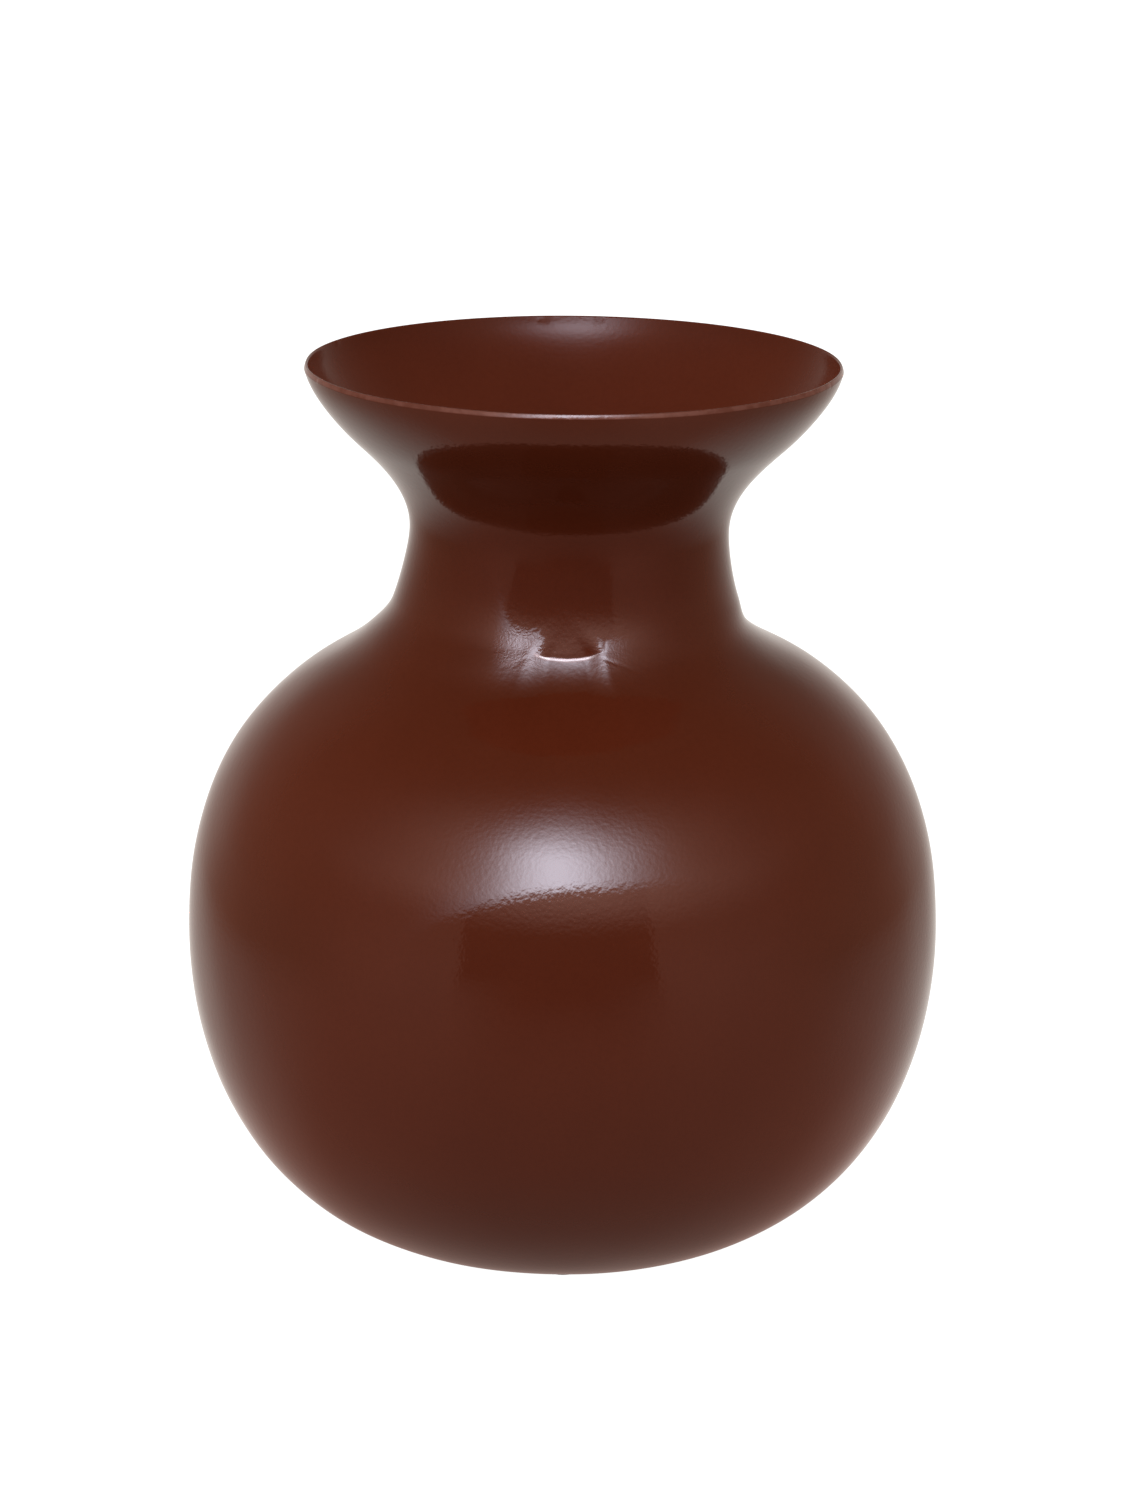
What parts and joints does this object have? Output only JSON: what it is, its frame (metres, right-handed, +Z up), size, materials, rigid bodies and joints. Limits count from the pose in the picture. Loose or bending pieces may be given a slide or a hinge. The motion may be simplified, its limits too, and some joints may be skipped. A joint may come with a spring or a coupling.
{
  "type": "vase",
  "caption": "Round-bellied lacquered metal vase with a waisted neck and a wide flared mouth, standing on felt pads, for cut flowers or dry stems.",
  "frame": {"origin": "on the table, on the axis of the belly, level with the undersides of the felt pads", "axes": "+Z up along the axis of the belly, +X towards the side that the hand-set neck leans to, +Y away from the picture's camera"},
  "size_m": [0.25, 0.25, 0.3],
  "materials": {
    "lacquer": "glossy red-brown lacquer with a fine orange-peel grain, rubbed lighter at the lip",
    "brazing": "dull brazed fillet",
    "felt": "pressed felt"
  },
  "bodies": {
    "root": {"lower_bowl": "lacquer", "shoulder_shell": "lacquer", "flared_neck": "lacquer", "belly_braze_ring": "brazing", "neck_braze_ring": "brazing", "felt_pad_1": "felt", "felt_pad_2": "felt", "felt_pad_3": "felt", "felt_pad_4": "felt"}
  },
  "joints": []
}
